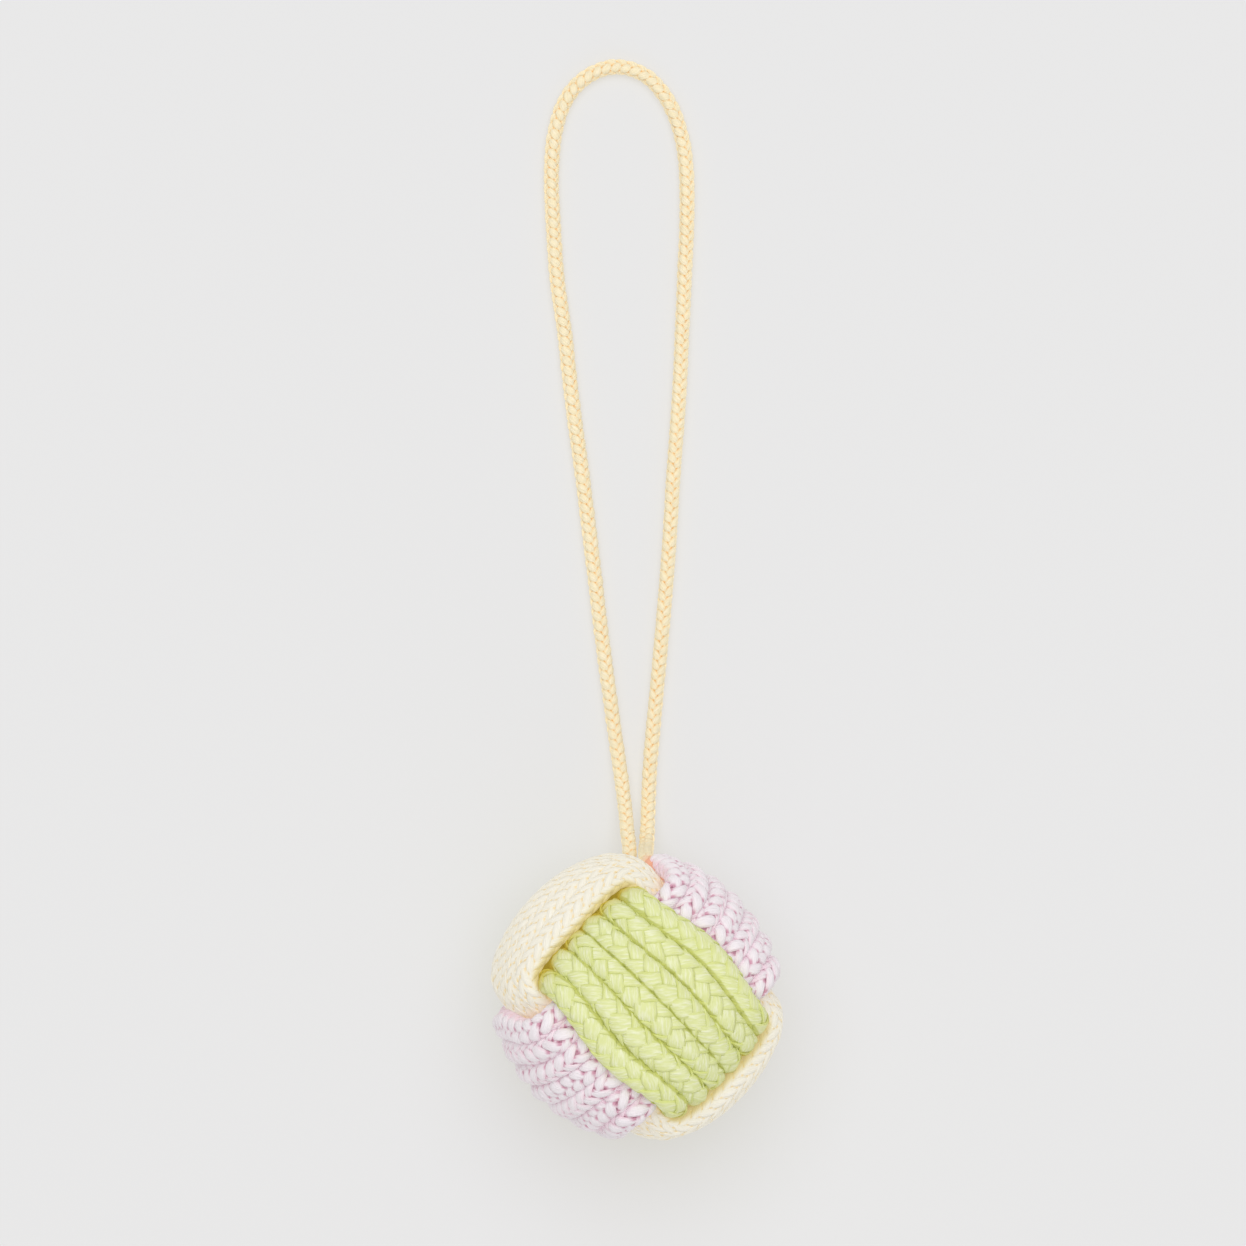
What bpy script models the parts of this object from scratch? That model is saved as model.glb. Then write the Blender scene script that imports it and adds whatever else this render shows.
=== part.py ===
"""A monkey fist knot: a ball wound from three braided cords, on a hanging loop of a thinner cord.

Metres, +Z up. The ball lies on the surface z = 0 with its centre above the origin, and the loop
lies out from it along +Y. Each of the three cords is wound round the ball in its own plane. Its
turns lie outermost on two opposite faces, and pass under the next cord on the two faces between,
so that each cord holds the one before it and is held by the one after it.
"""

import math

import bmesh
import bpy
from mathutils import Matrix, Vector, geometry

MM = 0.001

# Cords
KNOT_CORD = 3.2 * MM
LOOP_CORD = 2.0 * MM

# The knot cord is pressed thinner where it passes under the next cord
PRESSED_CORD = 2.5 * MM
PRESSED_FROM = 55.0

# How much nearer the ball's centre a turn's middle line lies where it passes under the next cord
LAYER_STEP = 3.53 * MM

# A band of turns is widest at its crown, and has closed up this far from it, in degrees
CLOSED_AT = 40.0

# How far a band falls towards its edges: 1 lays the turns on a sphere, and less is flatter
OUTER_FALL = 0.88
INNER_FALL = 0.93

# The outline of a turn in its own plane: 2 is a circle, and more is squarer
MIDDLE_SQUARENESS = 2.02
EDGE_SQUARENESS = 2.63
INNER_SQUARENESS = 1.78

# How the ball lies: the plan direction of the green turns, and how far their face leans
GREEN_DIRECTION = -44.2
LEAN_ALONG = 10.5
LEAN_ACROSS = 6.0
BALL_HEIGHT = 17.3 * MM

# Steps along a quarter of a turn, in degrees from the crown, closer where the cord dives
QUARTER_STEPS = (0, 9, 18, 26, 32, 37, 41, 45, 49, 53, 57, 61, 65, 70, 76, 83)

# One turn's outer side in section, in degrees from its crest. The crease between two turns stands
# this share of the cord's radius above their middle lines.
RIDGE_ANGLES = (-50, 0, 50)
CREASE_HEIGHT = 0.35

# The three windings. Radius and half-widths are those of the cords' middle lines, in millimetres.
# The dives are degrees from the crown, where a turn leaves the outer layer and reaches the inner one.
WINDINGS = (
    {
        "name": "green_winding", "colour": (0.62, 0.74, 0.27),
        "crown_axis": 2, "side_axis": 0, "turns": 6,
        "radius": 16.7, "crown_half": 8.6, "inner_half": 7.5,
        "middle_dive": (39.5, 65.4), "edge_dive": (35.8, 71.4),
    },
    {
        "name": "cream_winding", "colour": (0.93, 0.86, 0.66),
        "crown_axis": 0, "side_axis": 1, "turns": 6,
        "radius": 16.7, "crown_half": 8.3, "inner_half": 7.5,
        "middle_dive": (32.9, 58.8), "edge_dive": (32.4, 66.8),
    },
    {
        "name": "lilac_winding", "colour": (0.80, 0.68, 0.78),
        "crown_axis": 1, "side_axis": 2, "turns": 7,
        "radius": 16.4, "crown_half": 9.2, "inner_half": 8.1,
        "middle_dive": (39.4, 65.8), "edge_dive": (37.8, 73.8),
    },
)

# The loop: where its middle line runs, in millimetres from one root to the other
LOOP_ROUTE = (
    # across, along, height
    (-2.2, 15.3, 8.1),
    (-1.9, 16.6, 7.0),
    (-1.5, 18.2, 5.8),
    (-1.3, 20.6, 4.2),
    (-1.6, 24.4, 2.1),
    (-2.3, 29.5, 1.1),
    (-3.1, 35.2, 1.0),
    (-4.4, 44.9, 1.0),
    (-5.7, 55.8, 1.0),
    (-6.9, 65.5, 1.0),
    (-8.2, 75.1, 1.0),
    (-9.1, 83.3, 1.0),
    (-10.1, 90.5, 1.0),
    (-10.6, 97.8, 1.0),
    (-10.8, 103.6, 1.0),
    (-10.4, 108.6, 1.0),
    (-9.0, 113.0, 1.0),
    (-6.4, 115.9, 1.0),
    (-2.8, 117.2, 1.0),
    (0.9, 116.2, 1.0),
    (3.6, 113.4, 1.0),
    (5.3, 109.6, 1.0),
    (6.2, 104.6, 1.0),
    (6.3, 97.8, 1.0),
    (6.0, 90.5, 1.0),
    (5.7, 83.3, 1.0),
    (5.3, 75.2, 1.0),
    (4.6, 65.5, 1.0),
    (4.0, 55.8, 1.0),
    (3.1, 45.0, 1.0),
    (2.2, 35.2, 1.0),
    (1.7, 29.5, 1.2),
    (1.4, 24.4, 2.7),
    (1.3, 21.2, 5.0),
    (1.1, 19.4, 7.4),
    (0.6, 18.4, 9.8),
    (0.1, 17.9, 11.8),
    (-0.1, 17.6, 13.4),
)
LOOP_STEP = 2.0 * LOOP_CORD
FINE_STEPS = 16


def ball_placement():
    """The ball's own axes in the world: X along the green turns, Y across them, Z out of their face."""
    heading = math.radians(GREEN_DIRECTION)
    along = Vector((math.cos(heading), math.sin(heading), 0))
    across = Vector((-math.sin(heading), math.cos(heading), 0))
    face = Vector((0, 0, 1))
    face += along * math.tan(math.radians(LEAN_ALONG))
    face += across * math.tan(math.radians(LEAN_ACROSS))
    face.normalize()
    along = (along - face * along.dot(face)).normalized()
    turned = Matrix((along, face.cross(along), face)).transposed().to_4x4()
    return Matrix.Translation((0, 0, BALL_HEIGHT)) @ turned


def degrees_from_crown(angle):
    """How far this angle of a turn is from the nearer of its two crowns."""
    return math.degrees(math.atan2(abs(math.sin(angle)), abs(math.cos(angle))))


def narrowed(values, angle, reach):
    """The first value at the crown, falling smoothly to the second at this many degrees from it."""
    share = math.cos(math.pi / 2 * min(degrees_from_crown(angle) / reach, 1)) ** 2
    return values[1] + (values[0] - values[1]) * share


def squared(angle, squareness):
    """Radius of a superellipse of unit size at this angle."""
    total = abs(math.cos(angle)) ** squareness + abs(math.sin(angle)) ** squareness
    return total ** (-1 / squareness)


def between(values, share):
    """The value at this share of the way from the first to the second."""
    return values[0] + (values[1] - values[0]) * share


def turn_point(winding, share, angle):
    """Middle line of the turn at this share of the band's half-width: height, sideways, stacked."""
    offset = share * narrowed((winding["crown_half"], winding["inner_half"]), angle, CLOSED_AT) * MM
    radius = winding["radius"] * MM
    edge = share**2
    outer = math.sqrt(radius**2 - OUTER_FALL * offset**2)
    outer *= squared(angle, between((MIDDLE_SQUARENESS, EDGE_SQUARENESS), edge))
    inner = math.sqrt((radius - LAYER_STEP) ** 2 - INNER_FALL * offset**2)
    inner *= squared(angle, INNER_SQUARENESS)
    dive_start = between((winding["middle_dive"][0], winding["edge_dive"][0]), edge)
    dive_end = between((winding["middle_dive"][1], winding["edge_dive"][1]), edge)
    passed = (degrees_from_crown(angle) - dive_start) / (dive_end - dive_start)
    radius = between((outer, inner), (1 - math.cos(math.pi * min(max(passed, 0), 1))) / 2)
    return Vector((radius * math.cos(angle), radius * math.sin(angle), offset))


def turn_outward(winding, share, angle):
    """The direction square to the middle line, away from the ball's centre."""
    step = math.radians(0.5)
    ahead = turn_point(winding, share, angle + step) - turn_point(winding, share, angle - step)
    return Vector((ahead.y, -ahead.x, 0)).normalized()


def round_angles():
    """The steps of a whole turn, in radians, mirrored from one quarter to the next."""
    angles = set()
    for quarter in range(4):
        for step in QUARTER_STEPS:
            within = step if quarter % 2 == 0 else 90 - step
            angles.add((90 * quarter + within) % 360)
    return [math.radians(angle) for angle in sorted(angles)]


def band_section(winding, angle):
    """The section through all the turns at this angle, as (height, sideways, stacked)."""
    turns = winding["turns"]
    shares = [2 * turn / (turns - 1) - 1 for turn in range(turns)]
    middles = [turn_point(winding, share, angle) for share in shares]
    outward = [turn_outward(winding, share, angle) for share in shares]
    radius = narrowed((KNOT_CORD, PRESSED_CORD), angle, PRESSED_FROM) / 2
    stacked = Vector((0, 0, 1))

    def rim(turn, tilt):
        tilt = math.radians(tilt)
        return middles[turn] + (outward[turn] * math.cos(tilt) + stacked * math.sin(tilt)) * radius

    # From the band's near edge over its crests and creases to its far edge, and back along its inside
    points = [rim(0, -90)]
    for turn in range(turns):
        points += [rim(turn, tilt) for tilt in RIDGE_ANGLES]
        if turn < turns - 1:
            crease = (middles[turn] + middles[turn + 1]) / 2
            points.append(crease + (outward[turn] + outward[turn + 1]) / 2 * CREASE_HEIGHT * radius)
    points += [rim(turns - 1, 90), rim(turns - 1, 135)]
    points += [rim(turn, 180) for turn in reversed(range(turns))]
    points.append(rim(0, -135))
    return points


def smooth_curve(points):
    """Fine points on one smooth curve through the given ones."""
    tangents = []
    for i in range(len(points)):
        before = points[max(i - 1, 0)]
        after = points[min(i + 1, len(points) - 1)]
        tangents.append((after - before).normalized())
    fine = [points[0]]
    for i in range(len(points) - 1):
        reach = (points[i + 1] - points[i]).length / 3
        start_handle = points[i] + tangents[i] * reach
        end_handle = points[i + 1] - tangents[i + 1] * reach
        fine += geometry.interpolate_bezier(
            points[i], start_handle, end_handle, points[i + 1], FINE_STEPS
        )[1:]
    return fine


def even_points(fine, step):
    """Points at even distances along a fine line, from its first point to its last."""
    lengths = [0.0]
    for a, b in zip(fine, fine[1:]):
        lengths.append(lengths[-1] + (b - a).length)
    count = round(lengths[-1] / step)
    even = []
    k = 0
    for i in range(count + 1):
        wanted = lengths[-1] * i / count
        while k < len(fine) - 2 and lengths[k + 1] < wanted:
            k += 1
        share = (wanted - lengths[k]) / (lengths[k + 1] - lengths[k])
        even.append(fine[k].lerp(fine[k + 1], min(share, 1.0)))
    return even


def cord_material(name, colour, roughness):
    material = bpy.data.materials.new(name)
    material.use_nodes = True
    shader = material.node_tree.nodes["Principled BSDF"]
    shader.inputs["Base Color"].default_value = (*colour, 1)
    shader.inputs["Roughness"].default_value = roughness
    shader.inputs["Metallic"].default_value = 0
    return material


def wind_cord(winding, placement):
    """One cord's turns as a solid ring, raised to a ridge over each turn."""
    stack_axis = 3 - winding["crown_axis"] - winding["side_axis"]
    axes = (winding["crown_axis"], winding["side_axis"], stack_axis)
    mesh = bpy.data.meshes.new(winding["name"])
    bm = bmesh.new()
    rings = []
    for angle in round_angles():
        ring = []
        for point in band_section(winding, angle):
            place = Vector((0, 0, 0))
            for axis, value in zip(axes, point):
                place[axis] = value
            world = placement @ place
            # The ball is pressed flat where it lies
            world.z = max(world.z, 0)
            ring.append(bm.verts.new(world))
        rings.append(ring)
    for ring, following in zip(rings, rings[1:] + rings[:1]):
        for i, vert in enumerate(ring):
            beside = (i + 1) % len(ring)
            bm.faces.new((vert, ring[beside], following[beside], following[i]))
    bmesh.ops.recalc_face_normals(bm, faces=bm.faces)
    bm.to_mesh(mesh)
    bm.free()
    mesh.shade_smooth()
    wound = bpy.data.objects.new(winding["name"], mesh)
    wound.data.materials.append(cord_material(winding["name"], winding["colour"], roughness=0.6))
    bpy.context.scene.collection.objects.link(wound)
    return wound


def lay_loop(name, material):
    """The hanging loop as one tube, from its root in the ball out and back."""
    route = [Vector(point) * MM for point in LOOP_ROUTE]
    points = even_points(smooth_curve(route), LOOP_STEP)
    curve = bpy.data.curves.new(name, "CURVE")
    curve.dimensions = "3D"
    curve.bevel_depth = LOOP_CORD / 2
    curve.bevel_resolution = 2
    curve.use_fill_caps = True
    spline = curve.splines.new("POLY")
    spline.points.add(len(points) - 1)
    for target, point in zip(spline.points, points):
        target.co = (*point, 1)
    loop = bpy.data.objects.new(name, curve)
    loop.data.materials.append(material)
    bpy.context.scene.collection.objects.link(loop)
    return loop


for old in list(bpy.data.objects):
    bpy.data.objects.remove(old)

for winding in WINDINGS:
    wind_cord(winding, ball_placement())

lay_loop("hanging_loop", cord_material("hanging_loop", (0.92, 0.74, 0.40), roughness=0.6))
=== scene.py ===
# %% [markdown]
# # A monkey fist knot in braided cord
# Three cords are wound round one ball, each in its own plane, and each passes under the next. A thinner
# cord makes the hanging loop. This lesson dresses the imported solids: every cord becomes a real braid,
# strand by strand, made with Geometry Nodes along the line that the cord follows.

# %% Load the solids
import math

import bpy
from mathutils import Matrix, Vector, geometry


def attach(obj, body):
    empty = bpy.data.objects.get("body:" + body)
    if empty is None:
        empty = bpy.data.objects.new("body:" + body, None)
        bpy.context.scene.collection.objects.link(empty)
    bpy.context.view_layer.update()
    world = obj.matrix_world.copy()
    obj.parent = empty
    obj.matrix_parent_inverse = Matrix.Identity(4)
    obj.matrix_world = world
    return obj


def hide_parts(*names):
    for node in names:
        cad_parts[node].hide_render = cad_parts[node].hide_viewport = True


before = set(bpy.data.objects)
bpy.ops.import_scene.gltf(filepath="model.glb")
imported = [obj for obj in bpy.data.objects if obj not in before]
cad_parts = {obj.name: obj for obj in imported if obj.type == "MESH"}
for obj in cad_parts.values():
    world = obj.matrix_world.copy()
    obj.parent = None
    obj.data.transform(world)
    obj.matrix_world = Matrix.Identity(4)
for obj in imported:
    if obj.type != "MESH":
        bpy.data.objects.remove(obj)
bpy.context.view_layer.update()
print("solids:", sorted(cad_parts))

# %% [markdown]
# ## Camera
# The object lies flat and is seen from straight above. A far camera with a long lens keeps the sides of
# the view almost parallel, as in a product picture, so the ball isn't seen from its side although it
# lies far from the middle of the picture.

# %% Camera
MM = 0.001
VIEW_CENTRE = Vector((-1.764, 46.935, 9.0)) * MM
VIEW_WIDTH = 157.0 * MM
CAMERA_HEIGHT = 3.0
SENSOR = 36.0

lens = bpy.data.cameras.new("camera")
lens.sensor_width = SENSOR
lens.lens = SENSOR * CAMERA_HEIGHT / VIEW_WIDTH
lens.clip_start = 0.1
lens.clip_end = 20.0
camera = bpy.data.objects.new("camera", lens)
camera.location = VIEW_CENTRE + Vector((0, 0, CAMERA_HEIGHT))
bpy.context.scene.collection.objects.link(camera)
bpy.context.scene.camera = camera
print(f"lens {lens.lens:.0f} mm for a view {VIEW_WIDTH / MM:.0f} mm wide")

# %% [markdown]
# ## The ball's own axes
# The turns are worked out in the ball's own frame: X along the green turns, Y across them and Z out of
# the face that they show. The ball leans a little, so its frame is turned into place once, here.

# %% The ball's place
GREEN_DIRECTION = -44.2
LEAN_ALONG = 10.5
LEAN_ACROSS = 6.0
BALL_HEIGHT = 17.3 * MM


def ball_placement():
    """The ball's own axes in the world: X along the green turns, Y across them, Z out of their face."""
    heading = math.radians(GREEN_DIRECTION)
    along = Vector((math.cos(heading), math.sin(heading), 0))
    across = Vector((-math.sin(heading), math.cos(heading), 0))
    face = Vector((0, 0, 1))
    face += along * math.tan(math.radians(LEAN_ALONG))
    face += across * math.tan(math.radians(LEAN_ACROSS))
    face.normalize()
    along = (along - face * along.dot(face)).normalized()
    turned = Matrix((along, face.cross(along), face)).transposed().to_4x4()
    return Matrix.Translation((0, 0, BALL_HEIGHT)) @ turned


PLACEMENT = ball_placement()
green_face = PLACEMENT.to_3x3() @ Vector((0, 0, 1))
print(f"the green face leans {math.degrees(math.acos(green_face.z)):.1f} degrees from level")

# %% [markdown]
# ## One turn of a winding
# A turn runs outermost over two opposite crowns of the ball. Between them it dives under the next cord
# and is pressed thinner there. The band of turns is widest at the crown and closes up on both sides of
# it. The solids follow the same rules, so the braids lie where the solids are. Only the dives differ: in
# most turns the braid dives a few degrees later, so a little more of it lies outermost.

# %% Sizes of the windings
KNOT_CORD = 3.2 * MM
PRESSED_CORD = 2.5 * MM
PRESSED_FROM = 55.0
LAYER_STEP = 3.53 * MM
CLOSED_AT = 40.0
OUTER_FALL = 0.88
INNER_FALL = 0.93
MIDDLE_SQUARENESS = 2.02
EDGE_SQUARENESS = 2.63
INNER_SQUARENESS = 1.78

# Radii and half-widths of the bands are in mm. A dive is where a turn starts and ends to go under the next
# cord, in degrees from the crown, for the middle turns and for those at the band's edges. The later dives
# are what the braids add to that on the ball's two sides, and edge_later is the share of it at the band's
# edges, where a share below 0 means earlier. Each cord is pressed wider than its place by the touching on
# both sides, in mm. Its braid moves on by one place after the repeat, in mm, and twists by so many degrees
# a mm. The line's points are a step apart, in mm.
WINDINGS = {
    "green": {
        "crown_axis": 2, "side_axis": 0, "turns": 6,
        "radius": 16.7, "crown_half": 8.6, "inner_half": 7.5,
        "middle_dive": (39.5, 65.4), "edge_dive": (35.8, 71.4),
        "later_dive": (2.5, 3.0), "edge_later": 0.4, "touching": 0.15,
        "repeat": 2.45, "twist": -2.5, "first_roll": 0.0, "step": 0.48,
    },
    "cream": {
        "crown_axis": 0, "side_axis": 1, "turns": 6,
        "radius": 16.7, "crown_half": 8.3, "inner_half": 7.5,
        "middle_dive": (32.9, 58.8), "edge_dive": (32.4, 66.8),
        "later_dive": (5.0, 5.0), "edge_later": -0.6, "touching": 0.27,
        "repeat": 1.8, "twist": -0.8, "first_roll": -13.0, "step": 0.54,
    },
    "lilac": {
        "crown_axis": 1, "side_axis": 2, "turns": 7,
        "radius": 16.4, "crown_half": 9.2, "inner_half": 8.1,
        "middle_dive": (39.4, 65.8), "edge_dive": (37.8, 73.8),
        "later_dive": (4.0, 4.0), "edge_later": 0.4, "touching": 0.22,
        "repeat": 2.05, "twist": -2.5, "first_roll": 0.0, "step": 0.48,
    },
}


# %% Where a turn runs
def degrees_from_crown(angle):
    """How far this angle of a turn is from the nearer of its two crowns."""
    return math.degrees(math.atan2(abs(math.sin(angle)), abs(math.cos(angle))))


def narrowed(values, angle, reach):
    """The first value at the crown, falling smoothly to the second at this many degrees from it."""
    share = math.cos(math.pi / 2 * min(degrees_from_crown(angle) / reach, 1)) ** 2
    return values[1] + (values[0] - values[1]) * share


def squared(angle, squareness):
    """Radius of a superellipse of unit size at this angle."""
    total = abs(math.cos(angle)) ** squareness + abs(math.sin(angle)) ** squareness
    return total ** (-1 / squareness)


def between(values, share):
    """The value at this share of the way from the first to the second."""
    return values[0] + (values[1] - values[0]) * share


def smooth(share):
    """0 to 1, starting and ending gently."""
    share = min(max(share, 0), 1)
    return share * share * (3 - 2 * share)


def sunk(winding, share, angle):
    """0 where the turn lies outermost, 1 where it lies under the next cord."""
    edge = share**2
    start = between((winding["middle_dive"][0], winding["edge_dive"][0]), edge)
    end = between((winding["middle_dive"][1], winding["edge_dive"][1]), edge)
    ball_side = 1 if math.sin(angle) > 0 else 0
    later = winding["later_dive"][ball_side] * between((1, winding["edge_later"]), edge)
    passed = (degrees_from_crown(angle) - start - later) / (end - start)
    return (1 - math.cos(math.pi * min(max(passed, 0), 1))) / 2


def turn_point(winding, share, angle):
    """Middle line of the turn at this share of the band's half-width, in the ball's frame."""
    offset = share * narrowed((winding["crown_half"], winding["inner_half"]), angle, CLOSED_AT) * MM
    radius = winding["radius"] * MM
    edge = min(share**2, 1)
    outer = math.sqrt(radius**2 - OUTER_FALL * offset**2)
    outer *= squared(angle, between((MIDDLE_SQUARENESS, EDGE_SQUARENESS), edge))
    inner = math.sqrt((radius - LAYER_STEP) ** 2 - INNER_FALL * offset**2)
    inner *= squared(angle, INNER_SQUARENESS)
    radius = between((outer, inner), sunk(winding, share, angle))
    place = Vector((0, 0, 0))
    place[winding["crown_axis"]] = radius * math.cos(angle)
    place[winding["side_axis"]] = radius * math.sin(angle)
    place[3 - winding["crown_axis"] - winding["side_axis"]] = offset
    return place


for colour, winding in WINDINGS.items():
    outer, inner = (turn_point(winding, 0, math.radians(angle)).length / MM for angle in (0, 90))
    print(f"{colour}: middle turn {outer:.1f} mm out at its crown, {inner:.1f} mm where it is under")

# %% [markdown]
# ## One cord for all the turns of a winding
# On the real ball one cord makes all the turns of its colour. It has to step sideways once in every
# turn, and it does so where the next cord hides it. Its two ends are tucked into the ball. The line
# below is that cord. Each point on it also says which way is outwards, how wide and how high the cord is
# pressed there, how far along its braid has come and how much the whole braid has twisted.

# %% The line of a wound cord
FULL_TURN = 360
STEP_ANGLE = -90
STEP_ASIDE = 22.0
HIDDEN_STEPS = 2.1
HIDDEN_FROM = 68.0
TUCKED_TURN = 30.0
TUCKED_DEPTH = 3.5 * MM
TUCKED_CURVE = 1.5
MOST_SPREAD = 1.25


def share_at(winding, whole):
    """Share of the band's half-width at this angle counted over all turns, stepping where it is hidden."""
    turns = winding["turns"]
    nearest = round((whole - STEP_ANGLE) / FULL_TURN)
    beside = (whole - (FULL_TURN * nearest + STEP_ANGLE) + STEP_ASIDE) / (2 * STEP_ASIDE)
    turn = min(max(nearest - 1 + smooth(beside), 0), turns - 1)
    return 2 * turn / (turns - 1) - 1


def wound_point(winding, whole):
    """Middle line of the wound cord at this angle counted over all turns, its ends tucked in."""
    place = turn_point(winding, share_at(winding, whole), math.radians(whole))
    last_angle = FULL_TURN * winding["turns"] + STEP_ANGLE
    beyond = max(STEP_ANGLE - whole, whole - last_angle, 0) / TUCKED_TURN
    if beyond > 0:
        place -= place.normalized() * TUCKED_DEPTH * beyond**TUCKED_CURVE
    return place


def half_spacing(winding, share, angle):
    """Half the distance to the turns beside this one, on average."""
    spacing = 2 / (winding["turns"] - 1)
    here = turn_point(winding, share, angle)
    gaps = []
    for beside in (share - spacing, share + spacing):
        if abs(beside) < 1 + spacing / 2:
            gaps.append((turn_point(winding, beside, angle) - here).length)
    return sum(gaps) / len(gaps) / 2


def cord_line(winding):
    """Points along the wound cord, each a dict of its place and of what the braid needs there."""
    whole = STEP_ANGLE - TUCKED_TURN
    end = FULL_TURN * winding["turns"] + STEP_ANGLE + TUCKED_TURN
    line = []
    length = 0.0
    while whole < end:
        angle = math.radians(whole)
        share = share_at(winding, whole)
        place = wound_point(winding, whole)
        if line:
            length += (place - line[-1]["place"]).length
        thick = narrowed((KNOT_CORD, PRESSED_CORD), angle, PRESSED_FROM) / 2
        wide = half_spacing(winding, share, angle) + winding["touching"] * MM
        line.append({
            "place": place,
            "outward": place.normalized(),
            "half_high": thick,
            "half_wide": min(wide, thick * MOST_SPREAD),
            "stitch": length / (winding["repeat"] * MM),
            "roll": math.radians(winding["first_roll"] + winding["twist"] * length / MM),
            "sunk": sunk(winding, share, angle),
        })
        step = winding["step"] * MM
        if degrees_from_crown(angle) > HIDDEN_FROM:
            step *= HIDDEN_STEPS
        one_degree = wound_point(winding, whole + 1) - wound_point(winding, whole)
        whole += step / one_degree.length
    return line, length


def moved(line, placement):
    """The same line in the world's frame."""
    turned = placement.to_3x3()
    for point in line:
        point["place"] = placement @ point["place"]
        point["outward"] = turned @ point["outward"]
    return line


# %% [markdown]
# ## The line as an object
# Geometry Nodes read the line as a mesh of points joined by edges. What each point knows is stored in
# named attributes on the points, where the nodes can read it.

# %% A line with attributes
LINE_NUMBERS = ("half_high", "half_wide", "stitch", "roll", "sunk")


def line_object(name, line):
    """A mesh of the line's points and edges, with what each point knows."""
    mesh = bpy.data.meshes.new(name)
    edges = [(i, i + 1) for i in range(len(line) - 1)]
    mesh.from_pydata([point["place"] for point in line], edges, [])
    outward = mesh.attributes.new("outward", "FLOAT_VECTOR", "POINT")
    outward.data.foreach_set("vector", [value for point in line for value in point["outward"]])
    for key in LINE_NUMBERS:
        layer = mesh.attributes.new(key, "FLOAT", "POINT")
        layer.data.foreach_set("value", [point[key] for point in line])
    made = bpy.data.objects.new(name, mesh)
    bpy.context.scene.collection.objects.link(made)
    return made


# %% [markdown]
# ## Helpers for node trees
# The same few helpers build the Geometry Nodes and the materials. A value is either a number, which is
# set on the socket, or another node's output, which is linked to it.

# %% Node helpers
def feed(tree, socket, value):
    """Link the value to the socket, or set it there if it is a number."""
    if isinstance(value, bpy.types.NodeSocket):
        tree.links.new(value, socket)
    else:
        socket.default_value = value


def node(tree, kind, inputs=None, **settings):
    """A new node with its settings made and its inputs fed."""
    made = tree.nodes.new(kind)
    for key, value in settings.items():
        setattr(made, key, value)
    for key, value in (inputs or {}).items():
        feed(tree, made.inputs[key], value)
    return made


def number(tree, operation, *values):
    """The result of one sum on numbers."""
    return node(tree, "ShaderNodeMath", dict(enumerate(values)), operation=operation).outputs[0]


def product(tree, first, *others):
    """All the values multiplied together."""
    for other in others:
        first = number(tree, "MULTIPLY", first, other)
    return first


def vector(tree, operation, *values):
    """The result of one sum on vectors."""
    return node(tree, "ShaderNodeVectorMath", dict(enumerate(values)), operation=operation).outputs[0]


def scaled(tree, value, factor):
    """The vector made longer or shorter."""
    made = node(tree, "ShaderNodeVectorMath", {0: value, "Scale": factor}, operation="SCALE")
    return made.outputs[0]


# %% [markdown]
# ## From strands to a braid
# The real cords are round braids. Half of the strands run round the cord one way and half the other, and
# each passes over two and under two. The green, lilac and apricot cords have eight strands, so there are
# four columns of stitches round the cord, and in every second column the stitches slant the other way,
# which gives the herringbone. The cream cord has sixteen finer strands, so it looks much smoother.
#
# A strand could be drawn as a curve by hand or bent with an array, but its path follows a rule, so the
# nodes work it out: the line is copied once for each strand, each copy is moved out from the cord's
# middle by an angle that grows with the distance, and its distance from the middle rises and falls as it
# passes over and under. A lens-shaped profile then gives each strand its flat, plump form.

# %% The braid's node tree
WAVE_FLATNESS = 0.2
BUMP_SIZE = 1.7 * MM
PROFILE_CROWDING = 0.8
INNERMOST_CORNER = -0.9
CORE_CORNERS = 8
FLOOR_SKIN = 0.02 * MM
FAR_DOWN = -10.0
BRAID_COUNTS = ("Strands", "Strand corners")
BRAID_SIZES = (
    "Strand width", "Strand thickness", "Weave depth", "Waist", "Unevenness", "Swelling", "Wander",
    "Core depth", "Core painted shade", "Cord height", "Cord squareness",
)


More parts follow.
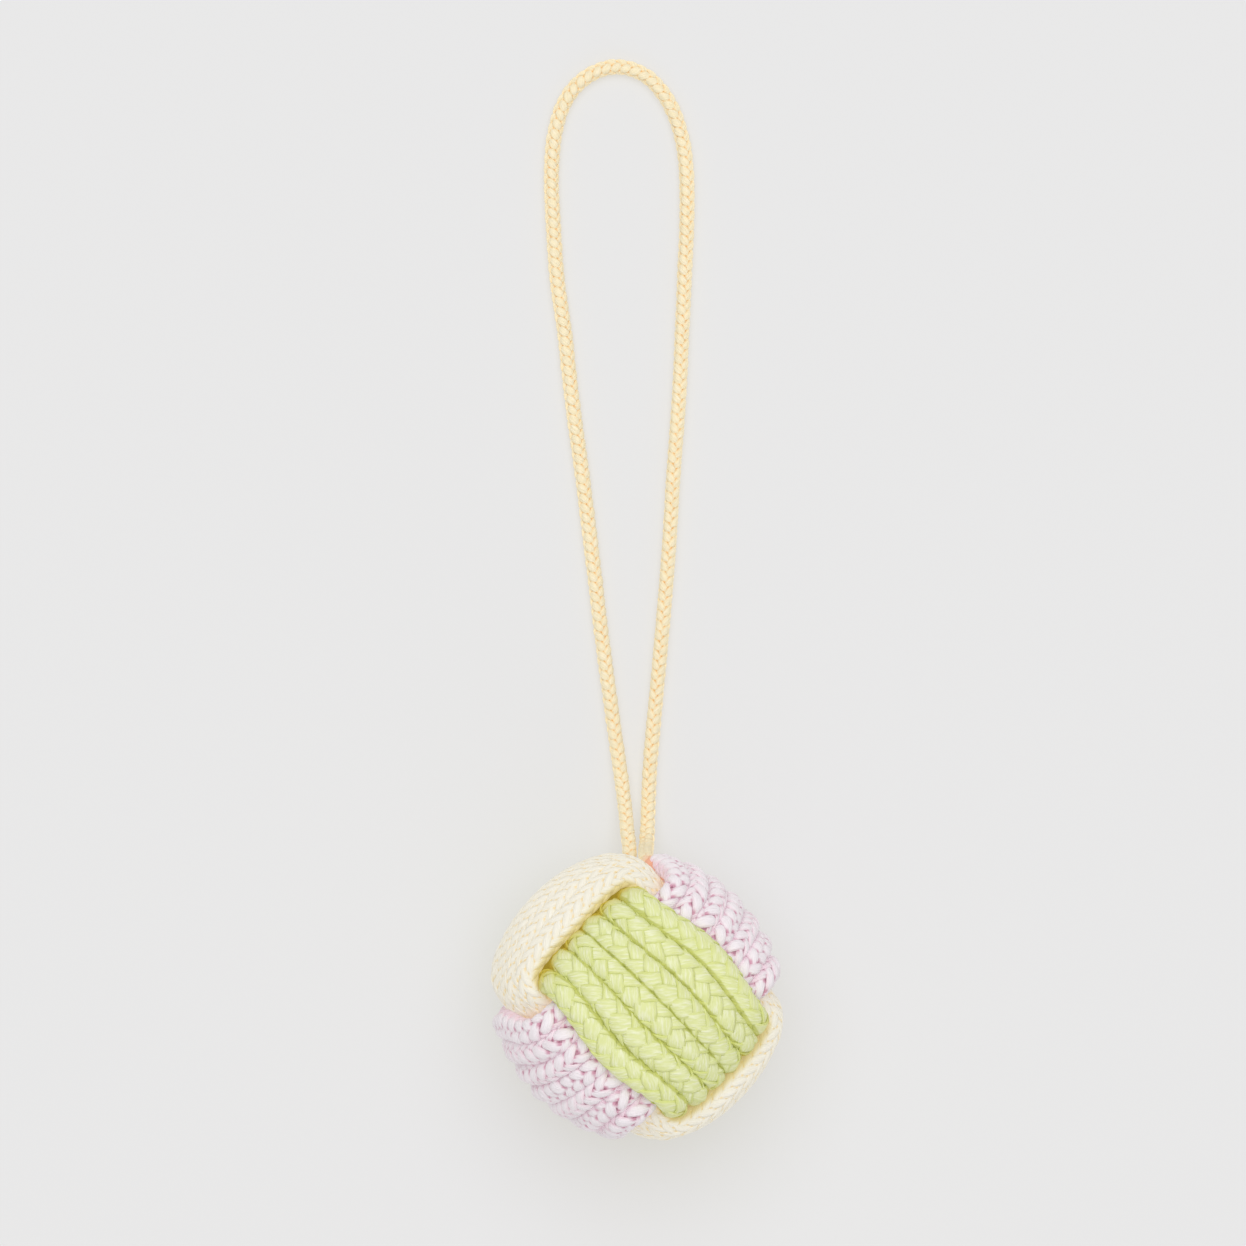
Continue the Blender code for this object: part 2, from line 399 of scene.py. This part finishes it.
def braid_tree(name):
    """The node tree that turns a line with attributes into a braid along it."""
    tree = bpy.data.node_groups.new(name, "GeometryNodeTree")
    face = tree.interface
    face.new_socket("Line", in_out="INPUT", socket_type="NodeSocketGeometry")
    for label in BRAID_COUNTS:
        face.new_socket(label, in_out="INPUT", socket_type="NodeSocketInt")
    for label in BRAID_SIZES:
        face.new_socket(label, in_out="INPUT", socket_type="NodeSocketFloat")
    face.new_socket("Finish", in_out="INPUT", socket_type="NodeSocketMaterial")
    face.new_socket("Braid", in_out="OUTPUT", socket_type="NodeSocketGeometry")
    inlet = node(tree, "NodeGroupInput")
    outlet = node(tree, "NodeGroupOutput")
    strands, corners = (inlet.outputs[label] for label in BRAID_COUNTS)
    wide, thick, depth, waist, uneven, swell, wander, core_depth, core_painted_shade, nominal, power = (
        inlet.outputs[label] for label in BRAID_SIZES
    )

    def stored(key, kind="FLOAT"):
        return node(
            tree, "GeometryNodeInputNamedAttribute", {"Name": key}, data_type=kind
        ).outputs["Attribute"]

    def keep(shape, key, value, kind="FLOAT", domain="POINT"):
        return node(
            tree, "GeometryNodeStoreNamedAttribute",
            {"Geometry": shape, "Name": key, "Value": value}, data_type=kind, domain=domain,
        ).outputs[0]

    def placed(shape, **places):
        return node(tree, "GeometryNodeSetPosition", {"Geometry": shape, **places}).outputs[0]

    def ring(count):
        return node(
            tree, "GeometryNodeCurvePrimitiveCircle", {"Resolution": count, "Radius": 1.0}, mode="RADIUS"
        ).outputs[0]

    # The cord's own directions at each point of the line
    here = node(tree, "GeometryNodeInputPosition").outputs[0]
    tangent = node(tree, "GeometryNodeInputTangent").outputs[0]
    outward = stored("outward", "FLOAT_VECTOR")
    side = vector(tree, "NORMALIZE", vector(tree, "CROSS_PRODUCT", tangent, outward))
    outward = vector(tree, "CROSS_PRODUCT", side, tangent)
    half_high = stored("half_high")
    half_wide = stored("half_wide")
    size = number(tree, "DIVIDE", half_high, nominal)
    line = node(tree, "GeometryNodeMeshToCurve", {"Mesh": inlet.outputs["Line"]}).outputs[0]

    # One copy of the line for each strand
    copies = node(
        tree, "GeometryNodeDuplicateElements", {"Geometry": line, "Amount": strands}, domain="SPLINE"
    )
    strand = copies.outputs["Duplicate Index"]
    one_way = number(tree, "DIVIDE", strands, 2.0)
    backward = number(tree, "GREATER_THAN", strand, number(tree, "SUBTRACT", one_way, 0.5))
    sense = number(tree, "SUBTRACT", 1.0, product(tree, backward, 2.0))

    # The angle round the cord: one place of the ring of strands for each repeat of the braid
    place_angle = number(tree, "DIVIDE", 2 * math.pi, one_way)
    turning = product(tree, stored("stitch"), sense, place_angle)
    start = product(tree, number(tree, "MULTIPLY_ADD", backward, 0.5, strand), place_angle)
    weave_angle = number(tree, "ADD", turning, start)

    # Over and under: a wave with slightly flat tops, up and down once in two places round the cord
    waves = number(tree, "DIVIDE", one_way, 2.0)
    wave = number(tree, "SINE", product(tree, weave_angle, waves))
    cubed = product(tree, wave, product(tree, wave, wave))
    raised = product(tree, wave, 1 + WAVE_FLATNESS)
    flattened = number(tree, "SUBTRACT", raised, product(tree, cubed, WAVE_FLATNESS))
    over = product(tree, flattened, sense)

    # Hand-made unevenness: each strand lies a little higher or lower, thicker or thinner, or to one side
    chance = node(
        tree, "ShaderNodeTexNoise", {"Vector": here, "W": strand, "Scale": 1 / BUMP_SIZE, "Detail": 1.0},
        noise_dimensions="4D",
    )
    more = node(tree, "ShaderNodeSeparateXYZ", {0: chance.outputs[1]})

    def off_middle(value):
        return number(tree, "SUBTRACT", value, 0.5)

    lift = product(tree, off_middle(chance.outputs[0]), uneven)
    swelling = number(tree, "MULTIPLY_ADD", off_middle(more.outputs["Z"]), swell, 1.0)
    aside = product(tree, off_middle(more.outputs["Y"]), wander)
    angle = number(tree, "ADD", number(tree, "ADD", weave_angle, stored("roll")), aside)

    # Out from the middle of the cord, whose section is a rounded square that is pressed flatter in places
    sinking = number(tree, "SUBTRACT", 1.0, over)
    inset = number(tree, "MULTIPLY_ADD", sinking, depth, product(tree, thick, 0.5))
    inset = product(tree, number(tree, "SUBTRACT", inset, lift), size)
    up_share = number(tree, "COSINE", angle)
    side_share = number(tree, "SINE", angle)
    corner = number(
        tree, "ADD",
        number(tree, "POWER", number(tree, "ABSOLUTE", up_share), power),
        number(tree, "POWER", number(tree, "ABSOLUTE", side_share), power),
    )
    corner = number(tree, "POWER", corner, number(tree, "DIVIDE", -1.0, power))
    high = product(tree, number(tree, "SUBTRACT", half_high, inset), corner)
    far = product(tree, number(tree, "SUBTRACT", half_wide, inset), corner)
    offset = vector(
        tree, "ADD",
        scaled(tree, outward, product(tree, high, up_share)),
        scaled(tree, side, product(tree, far, side_share)),
    )
    square = vector(
        tree, "ADD",
        scaled(tree, outward, number(tree, "DIVIDE", up_share, half_high)),
        scaled(tree, side, number(tree, "DIVIDE", side_share, half_wide)),
    )

    # A strand swells where it lies over its neighbours and is squeezed where it dives under them
    squeezed = number(tree, "SUBTRACT", 1.0, product(tree, sinking, 0.5, waist))
    swollen = product(tree, squeezed, swelling, size)

    # The strands' own lines, and what each point on them has to know. Adding 0 makes the number a float.
    path = keep(copies.outputs["Geometry"], "square", vector(tree, "NORMALIZE", square), "FLOAT_VECTOR")
    path = keep(path, "over", over)
    path = keep(path, "centre", here, "FLOAT_VECTOR")
    path = keep(path, "up_axis", outward, "FLOAT_VECTOR")
    path = keep(path, "swollen", swollen)
    path = keep(path, "strand", number(tree, "ADD", strand, 0.0))
    path = placed(path, Offset=offset)
    path = node(
        tree, "GeometryNodeSetCurveNormal",
        {"Curve": path, "Normal": stored("square", "FLOAT_VECTOR")}, mode="FREE",
    ).outputs[0]
    reach = node(tree, "GeometryNodeSplineParameter").outputs["Length"]
    path = keep(path, "along", reach)

    # The profile: a flat lens, with most of its corners on the outer side
    place = node(tree, "ShaderNodeSeparateXYZ", {0: here})
    turned = number(tree, "ARCTAN2", place.outputs["Y"], place.outputs["X"])
    inner = number(tree, "LESS_THAN", place.outputs["X"], INNERMOST_CORNER)
    crowding = number(tree, "MULTIPLY_ADD", inner, 1 - PROFILE_CROWDING, PROFILE_CROWDING)
    crowded = product(tree, turned, crowding)
    across = number(tree, "SINE", crowded)
    lens_place = node(tree, "ShaderNodeCombineXYZ", {
        "X": product(tree, number(tree, "COSINE", crowded), product(tree, thick, 0.5)),
        "Y": product(tree, across, product(tree, wide, 0.5)),
    }).outputs[0]
    profile = placed(keep(ring(corners), "across", across), Position=lens_place)
    yarns = node(
        tree, "GeometryNodeCurveToMesh",
        {"Curve": path, "Profile Curve": profile, "Scale": stored("swollen"), "Fill Caps": True},
    ).outputs[0]

    # The core: the yarn inside the braid, which closes the view between the strands
    inside = keep(line, "centre", here, "FLOAT_VECTOR")
    inside = keep(inside, "up_axis", outward, "FLOAT_VECTOR")
    inside = keep(inside, "side_axis", side, "FLOAT_VECTOR")
    core_ring = keep(ring(CORE_CORNERS), "ring_up", place.outputs["X"])
    core_ring = keep(core_ring, "ring_side", place.outputs["Y"])
    core = node(
        tree, "GeometryNodeCurveToMesh", {"Curve": inside, "Profile Curve": core_ring, "Fill Caps": True}
    ).outputs[0]
    below = product(tree, core_depth, size)
    up_reach = product(tree, stored("ring_up"), number(tree, "SUBTRACT", half_high, below))
    side_reach = product(tree, stored("ring_side"), number(tree, "SUBTRACT", half_wide, below))
    core_offset = vector(
        tree, "ADD",
        scaled(tree, stored("up_axis", "FLOAT_VECTOR"), up_reach),
        scaled(tree, stored("side_axis", "FLOAT_VECTOR"), side_reach),
    )
    core = placed(core, Position=vector(tree, "ADD", stored("centre", "FLOAT_VECTOR"), core_offset))
    # The core counts as under the strands and sits at its core tone across them, so it takes the painted
    # shade of grooves and pits
    core = keep(core, "over", -1.0)
    core = keep(core, "across", core_painted_shade)

    # Join them, note how far out each point faces, lay them on the floor and give them their finish
    joined = node(tree, "GeometryNodeJoinGeometry")
    tree.links.new(core, joined.inputs[0])
    tree.links.new(yarns, joined.inputs[0])
    skin = joined.outputs[0]
    from_centre = vector(tree, "SUBTRACT", here, stored("centre", "FLOAT_VECTOR"))
    rise = node(
        tree, "ShaderNodeVectorMath",
        {0: from_centre, 1: stored("up_axis", "FLOAT_VECTOR")}, operation="DOT_PRODUCT",
    ).outputs["Value"]
    skin = keep(skin, "facing", number(tree, "DIVIDE", rise, half_high))
    lowest = node(tree, "ShaderNodeCombineXYZ", {"X": FAR_DOWN, "Y": FAR_DOWN, "Z": FLOOR_SKIN}).outputs[0]
    skin = placed(skin, Position=vector(tree, "MAXIMUM", here, lowest))
    thread = node(tree, "ShaderNodeCombineXYZ", {"X": stored("across"), "Y": stored("along")}).outputs[0]
    skin = keep(skin, "UVMap", thread, "FLOAT2", "CORNER")
    skin = node(tree, "GeometryNodeSetShadeSmooth", {"Geometry": skin}).outputs[0]
    skin = node(tree, "GeometryNodeRealizeInstances", {"Geometry": skin}).outputs[0]
    skin = node(
        tree, "GeometryNodeSetMaterial", {"Geometry": skin, "Material": inlet.outputs["Finish"]}
    ).outputs[0]
    feed(tree, outlet.inputs["Braid"], skin)
    return tree


BRAID = braid_tree("braid_along_a_line")
print("braid tree:", len(BRAID.nodes), "nodes")

# %% [markdown]
# ## From line to braid
# The modifier's inputs are set by their sockets' identifiers. The evaluated result becomes a plain mesh
# in a new object, so that the piece holds no live nodes, and the line and its modifier are removed.

# %% Make a braid
WORKING_NAMES = {
    "outward", "square", "swollen", "half_high", "half_wide", "stitch", "roll", "centre", "up_axis",
    "side_axis", "ring_up", "ring_side",
}


def braided(name, line, sizes, finish):
    """The braid along this line, as a plain mesh object."""
    source = line_object(name + "_line", line)
    modifier = source.modifiers.new("braid", "NODES")
    modifier.node_group = BRAID
    values = dict(sizes, Finish=finish)
    for item in BRAID.interface.items_tree:
        if item.in_out == "INPUT" and item.name in values:
            modifier[item.identifier] = values[item.name]
    graph = bpy.context.evaluated_depsgraph_get()
    mesh = bpy.data.meshes.new_from_object(source.evaluated_get(graph), depsgraph=graph)
    mesh.name = name
    for key in [layer.name for layer in mesh.attributes if layer.name in WORKING_NAMES]:
        mesh.attributes.remove(mesh.attributes[key])
    bpy.data.objects.remove(source)
    made = bpy.data.objects.new(name, mesh)
    bpy.context.scene.collection.objects.link(made)
    mesh.calc_loop_triangles()
    print(f"{name}: {len(mesh.loop_triangles)} triangles")
    return made


# %% [markdown]
# ## A cord's finish
# The cords are matt, slightly silky fibre in pale colours. In such light colours the grooves aren't
# grey: light bounces from strand to strand and comes out stronger in colour. So the grooves between
# strands, the creases between turns and the places where a cord dives get painted shade, a deeper tone
# mixed into the colour. The fibre also lets light through, which softens its shading; emission stands in
# for that, so the cords glow as painted light. A set share of each cord's colour glows alike in light
# and shade, its base colour is that much darker, and pits, shaded sides and dives glow a little more.

# %% Cord finish
FIBRE_STRETCH = (5.0, 700.0, 1.0)
FIBRE_HEIGHT = 0.2 * MM
FIBRE_RELIEF = 0.8

# A pair says where a tone starts and where it is full. A reach says how far it takes to get full, and a
# tone or glow how strong it is then. All tones but the fibres' pale one are painted shade, and the glows
# are painted light.
FIBRE_SHADES = (0.4, 0.7)
STRAND_EDGE = (0.55, 0.98)
EDGE_SHADE = 0.5
STRAND_UNDER = (0.3, -0.8)
PIT_EDGE = (0.2, 0.7)
PIT_REACH = 0.65
PIT_PAINTED_GLOW = 0.06
CREASE_SHADE = 0.7
HOLLOW_UNDER = (0.0, -0.7)
HOLLOW_SHADE = 0.7
DIVE_REACH = 0.5
SHADED_SIDE = (0.6, 0.1)
PAINTED_GLOW_SCALE = 0.93
SILK = {
    "Roughness": 0.62, "Specular IOR Level": 0.35, "Sheen Weight": 0.35, "Sheen Roughness": 0.5,
}


def colour_mix(tree, share, first, second):
    """The first colour at 0, the second at 1."""
    made = node(tree, "ShaderNodeMix", data_type="RGBA", clamp_factor=True)
    # The node's colours are its inputs 6 and 7 and its output 2
    for index, value in ((0, share), (6, first), (7, second)):
        feed(tree, made.inputs[index], value)
    return made.outputs[2]


def ramp(tree, value, low, high):
    """0 at low, 1 at high, smooth between."""
    return node(
        tree, "ShaderNodeMapRange", {"Value": value, "From Min": low, "From Max": high},
        interpolation_type="SMOOTHSTEP",
    ).outputs[0]


def cord_finish(name, body, pale, groove_shade, pit_shade, crease_shade, dive_shade, side, pit_from, dive_shade_from, painted_glow, painted_glow_share):
    """A cord's material. Past body and pale, the colours are painted shade and the glows painted light; side
    and the two start values say where the shades start.
    """
    material = bpy.data.materials.new(name)
    material.use_nodes = True
    material.cycles.emission_sampling = "NONE"
    tree = material.node_tree
    shader = tree.nodes["Principled BSDF"]

    def stored(key):
        return node(tree, "ShaderNodeAttribute", attribute_name=key).outputs["Fac"]

    # Fine fibres along each strand
    place = node(tree, "ShaderNodeUVMap", uv_map="UVMap").outputs[0]
    stretched = vector(tree, "MULTIPLY", place, FIBRE_STRETCH)
    fibre = node(
        tree, "ShaderNodeTexNoise",
        {"Vector": stretched, "W": stored("strand"), "Scale": 1.0, "Detail": 2.0}, noise_dimensions="4D",
    ).outputs[0]
    colour = colour_mix(tree, ramp(tree, fibre, *FIBRE_SHADES), (*body, 1), (*pale, 1))

    # Painted shade: deeper tones in the grooves between strands and in the pits where strands cross
    across = number(tree, "ABSOLUTE", stored("across"))
    over = stored("over")
    edge = product(tree, ramp(tree, across, *STRAND_EDGE), EDGE_SHADE)
    groove_shade_mask = number(tree, "MAXIMUM", edge, ramp(tree, over, *STRAND_UNDER))
    colour = colour_mix(tree, groove_shade_mask, colour, (*groove_shade, 1))
    under = ramp(tree, over, pit_from, pit_from - PIT_REACH)
    corner = product(tree, ramp(tree, across, *PIT_EDGE), under)
    colour = colour_mix(tree, corner, colour, (*pit_shade, 1))

    # Painted shade: deeper tones in the creases between turns, in their hollows and where the cord dives
    facing = stored("facing")
    turned_away = ramp(tree, facing, *side)
    colour = colour_mix(tree, product(tree, turned_away, CREASE_SHADE), colour, (*crease_shade, 1))
    hollow = product(tree, turned_away, ramp(tree, over, *HOLLOW_UNDER))
    colour = colour_mix(tree, product(tree, hollow, HOLLOW_SHADE), colour, (*pit_shade, 1))
    # Painted shade where the cord dives under the next cord
    sunk_share = ramp(tree, stored("sunk"), dive_shade_from, dive_shade_from + DIVE_REACH)
    colour = colour_mix(tree, sunk_share, colour, (*dive_shade, 1))

    # Painted light: emission stands in for light that bounces between the strands or comes through the fibre
    painted_bounce_glow = product(tree, ramp(tree, facing, *SHADED_SIDE), painted_glow[0])
    painted_bounce_glow = number(tree, "MAXIMUM", painted_bounce_glow, product(tree, corner, PIT_PAINTED_GLOW))
    painted_bounce_glow = number(tree, "ADD", painted_bounce_glow, painted_glow_share * PAINTED_GLOW_SCALE)
    feed(tree, shader.inputs["Base Color"], colour_mix(tree, painted_glow_share, colour, (0, 0, 0, 1)))
    feed(tree, shader.inputs["Sheen Tint"], colour)
    feed(tree, shader.inputs["Emission Color"], colour)
    feed(tree, shader.inputs["Emission Strength"], number(tree, "MULTIPLY_ADD", sunk_share, painted_glow[1], painted_bounce_glow))
    for key, value in SILK.items():
        shader.inputs[key].default_value = value
    relief = node(
        tree, "ShaderNodeBump", {"Height": fibre, "Strength": FIBRE_RELIEF, "Distance": FIBRE_HEIGHT}
    ).outputs[0]
    feed(tree, shader.inputs["Normal"], relief)
    return material


# %% [markdown]
# ## The three windings
# Each cord gets its own braid: the green one broad flat strands, the cream one sixteen fine ones and the
# lilac one loose plump ones.

# %% Wind the ball
KNOT_BRAIDS = {
    "green": {
        "Strands": 8,
        "Strand corners": 8,
        "Strand width": 2.85 * MM,
        "Strand thickness": 0.75 * MM,
        "Weave depth": 0.24 * MM,
        "Waist": 0.26,
        "Unevenness": 0.3 * MM,
        "Swelling": 0.6,
        "Wander": 0.3,
        "Core depth": 0.85 * MM,
        "Core painted shade": 0.6,
        "Cord height": KNOT_CORD / 2,
        "Cord squareness": 2.15,
    },
    "cream": {
        "Strands": 16,
        "Strand corners": 5,
        "Strand width": 1.35 * MM,
        "Strand thickness": 0.5 * MM,
        "Weave depth": 0.03 * MM,
        "Waist": 0.35,
        "Unevenness": 0.06 * MM,
        "Swelling": 0.3,
        "Wander": 0.15,
        "Core depth": 0.42 * MM,
        "Core painted shade": 0.8,
        "Cord height": KNOT_CORD / 2,
        "Cord squareness": 2.3,
    },
    "lilac": {
        "Strands": 8,
        "Strand corners": 8,
        "Strand width": 1.95 * MM,
        "Strand thickness": 0.9 * MM,
        "Weave depth": 0.14 * MM,
        "Waist": 0.45,
        "Unevenness": 0.4 * MM,
        "Swelling": 0.7,
        "Wander": 0.6,
        "Core depth": 0.8 * MM,
        "Core painted shade": 1.0,
        "Cord height": KNOT_CORD / 2,
        "Cord squareness": 2.2,
    },
}
# Past body and pale, each finish's colours are painted shade, and its glows are painted light.
FINISHES = {
    "green": cord_finish(
        "green_cord", body=(0.71, 0.76, 0.37), pale=(0.83, 0.86, 0.62), groove_shade=(0.60, 0.66, 0.17),
        pit_shade=(0.34, 0.38, 0.05), crease_shade=(0.46, 0.50, 0.09), dive_shade=(0.54, 0.44, 0.06),
        side=(0.58, 0.42), pit_from=0.1, dive_shade_from=-0.1, painted_glow=(0.05, 0.12), painted_glow_share=0.1,
    ),
    "cream": cord_finish(
        "cream_cord", body=(0.91, 0.86, 0.73), pale=(0.93, 0.90, 0.81), groove_shade=(0.91, 0.86, 0.70),
        pit_shade=(0.88, 0.71, 0.42), crease_shade=(0.73, 0.59, 0.17), dive_shade=(0.86, 0.60, 0.38),
        side=(0.47, -0.1), pit_from=0.65, dive_shade_from=0.3, painted_glow=(0.06, 0.12), painted_glow_share=0.42,
    ),
    "lilac": cord_finish(
        "lilac_cord", body=(0.87, 0.80, 0.83), pale=(0.90, 0.85, 0.88), groove_shade=(0.80, 0.62, 0.68),
        pit_shade=(0.60, 0.31, 0.40), crease_shade=(0.81, 0.62, 0.70), dive_shade=(0.66, 0.36, 0.28),
        side=(0.62, 0.2), pit_from=0.65, dive_shade_from=0.3, painted_glow=(0.05, 0.2), painted_glow_share=0.12,
    ),
}

for colour, winding in WINDINGS.items():
    line, length = cord_line(winding)
    wound = braided(colour + "_braid", moved(line, PLACEMENT), KNOT_BRAIDS[colour], FINISHES[colour])
    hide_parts(colour + "_winding")
    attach(wound, "root")
    print(f"{colour} cord: {length / MM:.0f} mm in {winding['turns']} turns, {len(line)} points")

# %% [markdown]
# ## The hanging loop
# The loop is one free length of a 2 mm cord. Both its ends go into the corner of the ball where the
# cream cord dives under the lilac one. From there it bends down to the surface, on which it lies in a
# long drop shape. Its points are those of its solid, but near the ball they are moved a little, so that
# the cord looks there as in the photograph, and both ends go on a little inside the ball.

# %% The loop's line
LOOP_CORD = 2.0 * MM
LOOP_REPEAT = 1.25 * MM
LOOP_STEP = 0.28 * MM
FINE_STEPS = 24

# The braid twists by so many degrees a metre, counted from this far along the cord
LOOP_TWIST = 0.5 / MM
LOOP_LEVEL = 20.0 * MM

# The cord starts to count as sunk at this height and wholly does after this reach, both in mm; sunk, it gets
# painted shade and painted glow
CAUGHT_HEIGHT = 15.0
CAUGHT_REACH = 6.0
LOOP_ROUTE = (
    # Millimetres across, along and up, from the left end inside the ball to the right one
    (-1.5, 13.2, 9.9), (-1.35, 14.2, 9.0), (-1.2, 15.3, 8.1), (-1.0, 16.6, 7.0), (-0.95, 18.2, 5.8),
    (-1.2, 20.6, 4.2), (-1.6, 24.4, 2.1), (-2.3, 29.5, 1.1), (-3.1, 35.2, 1.0), (-4.4, 44.9, 1.0),
    (-5.7, 55.8, 1.0), (-6.9, 65.5, 1.0), (-8.2, 75.1, 1.0), (-9.1, 83.3, 1.0), (-10.1, 90.5, 1.0),
    (-10.6, 97.8, 1.0), (-10.8, 103.6, 1.0), (-10.4, 108.6, 1.0), (-9.0, 113.0, 1.0),
    (-6.4, 115.9, 1.0), (-2.8, 117.2, 1.0), (0.9, 116.2, 1.0), (3.6, 113.4, 1.0), (5.3, 109.6, 1.0),
    (6.2, 104.6, 1.0), (6.3, 97.8, 1.0), (6.0, 90.5, 1.0), (5.7, 83.3, 1.0), (5.3, 75.2, 1.0),
    (4.6, 65.5, 1.0), (4.0, 55.8, 1.0), (3.1, 45.0, 1.0), (2.2, 35.2, 1.0), (1.7, 29.5, 1.1),
    (1.45, 24.4, 1.2), (1.35, 21.2, 2.2), (1.25, 19.5, 3.7), (1.15, 18.5, 5.8), (1.1, 18.0, 8.4),
    (1.1, 17.85, 10.8), (1.1, 17.75, 12.6), (1.1, 17.55, 14.0), (1.25, 17.25, 15.4),
    (1.6, 16.8, 16.9), (2.1, 16.3, 18.1), (2.7, 15.7, 19.0), (3.3, 15.1, 19.5),
)


def smooth_curve(points):
    """Fine points on one smooth curve through the given ones."""
    tangents = []
    for i in range(len(points)):
        before = points[max(i - 1, 0)]
        after = points[min(i + 1, len(points) - 1)]
        tangents.append((after - before).normalized())
    fine = [points[0]]
    for i in range(len(points) - 1):
        reach = (points[i + 1] - points[i]).length / 3
        start_handle = points[i] + tangents[i] * reach
        end_handle = points[i + 1] - tangents[i + 1] * reach
        fine += geometry.interpolate_bezier(
            points[i], start_handle, end_handle, points[i + 1], FINE_STEPS
        )[1:]
    return fine


def even_points(fine, step):
    """Points at even distances along a fine line, from its first point to its last."""
    lengths = [0.0]
    for a, b in zip(fine, fine[1:]):
        lengths.append(lengths[-1] + (b - a).length)
    count = round(lengths[-1] / step)
    even = []
    k = 0
    for i in range(count + 1):
        wanted = lengths[-1] * i / count
        while k < len(fine) - 2 and lengths[k + 1] < wanted:
            k += 1
        share = (wanted - lengths[k]) / (lengths[k + 1] - lengths[k])
        even.append(fine[k].lerp(fine[k + 1], min(share, 1.0)))
    return even, lengths[-1]


# %% Lay the loop
route = [Vector(point) * MM for point in LOOP_ROUTE]
points, loop_length = even_points(smooth_curve(route), LOOP_STEP)
line = []
outward = Vector((0, 0, 1))
for i, place in enumerate(points):
    ahead = (points[min(i + 1, len(points) - 1)] - points[max(i - 1, 0)]).normalized()
    outward = (outward - ahead * outward.dot(ahead)).normalized()
    distance = loop_length * i / (len(points) - 1)
    line.append({
        "place": place,
        "outward": outward.copy(),
        "half_high": LOOP_CORD / 2,
        "half_wide": LOOP_CORD / 2,
        "stitch": distance / LOOP_REPEAT,
        "roll": math.radians(LOOP_TWIST * (distance - LOOP_LEVEL)),
        "sunk": smooth((place.z / MM - CAUGHT_HEIGHT) / CAUGHT_REACH),
    })

LOOP_BRAID = {
    "Strands": 8,
    "Strand corners": 8,
    "Strand width": 1.12 * MM,
    "Strand thickness": 0.55 * MM,
    "Weave depth": 0.14 * MM,
    "Waist": 0.6,
    "Unevenness": 0.12 * MM,
    "Swelling": 0.35,
    "Wander": 0.2,
    "Core depth": 0.46 * MM,
    "Core painted shade": 1.0,
    "Cord height": LOOP_CORD / 2,
    "Cord squareness": 2.0,
}
# Past body and pale, the loop's colours are painted shade, and its glows are painted light.
apricot = cord_finish(
    "apricot_cord", body=(0.91, 0.79, 0.52), pale=(0.93, 0.84, 0.64), groove_shade=(0.90, 0.67, 0.34),
    pit_shade=(0.86, 0.45, 0.14), crease_shade=(0.91, 0.77, 0.50), dive_shade=(0.84, 0.42, 0.28),
    side=(0.6, 0.0), pit_from=0.65, dive_shade_from=0.0, painted_glow=(0.2, 0.05), painted_glow_share=0.1,
)
loop = braided("loop_braid", line, LOOP_BRAID, apricot)
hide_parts("hanging_loop")
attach(loop, "root")
print(f"loop: {loop_length / MM:.1f} mm of cord")

# %% [markdown]
# ## Floor and light
# The picture was taken on a plain pale surface in very soft light from above, a little stronger from
# the loop's side. A bright even sky gives that, with one large lamp above and a weak, lower one on the
# ball's side. The paper glows a little of its own, which keeps the shadows on it pale.

# %% Floor and light
FLOOR_REACH = 4.0
PAPER = {
    "Base Color": (0.29, 0.305, 0.36, 1),
    "Emission Color": (1.0, 0.958, 0.828, 1),
    "Emission Strength": 0.48,
    "Roughness": 0.9,
    "Specular IOR Level": 0.1,
}
SKY_STRENGTH = 0.6

floor_mesh = bpy.data.meshes.new("floor")
floor_corners = [(x * FLOOR_REACH, y * FLOOR_REACH, 0) for x, y in ((-1, -1), (1, -1), (1, 1), (-1, 1))]
floor_mesh.from_pydata(floor_corners, [], [(0, 1, 2, 3)])
floor = bpy.data.objects.new("floor", floor_mesh)
bpy.context.scene.collection.objects.link(floor)
paper = bpy.data.materials.new("paper")
paper.use_nodes = True
for key, value in PAPER.items():
    paper.node_tree.nodes["Principled BSDF"].inputs[key].default_value = value
floor_mesh.materials.append(paper)

sky = bpy.data.worlds.new("sky")
sky.use_nodes = True
sky.node_tree.nodes["Background"].inputs["Color"].default_value = (1.0, 1.0, 1.0, 1)
sky.node_tree.nodes["Background"].inputs["Strength"].default_value = SKY_STRENGTH
bpy.context.scene.world = sky


def soft_lamp(name, width, power, place, aim):
    """A round area lamp at this place, turned towards its aim."""
    light = bpy.data.lights.new(name, "AREA")
    light.shape = "DISK"
    light.size = width
    light.energy = power
    lamp = bpy.data.objects.new(name, light)
    lamp.location = place
    lamp.rotation_euler = (Vector(aim) - lamp.location).to_track_quat("-Z", "Y").to_euler()
    bpy.context.scene.collection.objects.link(lamp)


soft_lamp("panel", width=3.6, power=80.0, place=(0.0, 0.95, 3.4), aim=(0.0, 0.02, 0.0))
soft_lamp("fill", width=2.5, power=8.0, place=(0.5, -2.4, 1.3), aim=(0.0, 0.0, 0.0))
bpy.context.scene.view_settings.view_transform = "Standard"

# %% [markdown]
# ## Last update
# The view layer is brought up to date once more.

# %% Finish
bpy.context.view_layer.update()
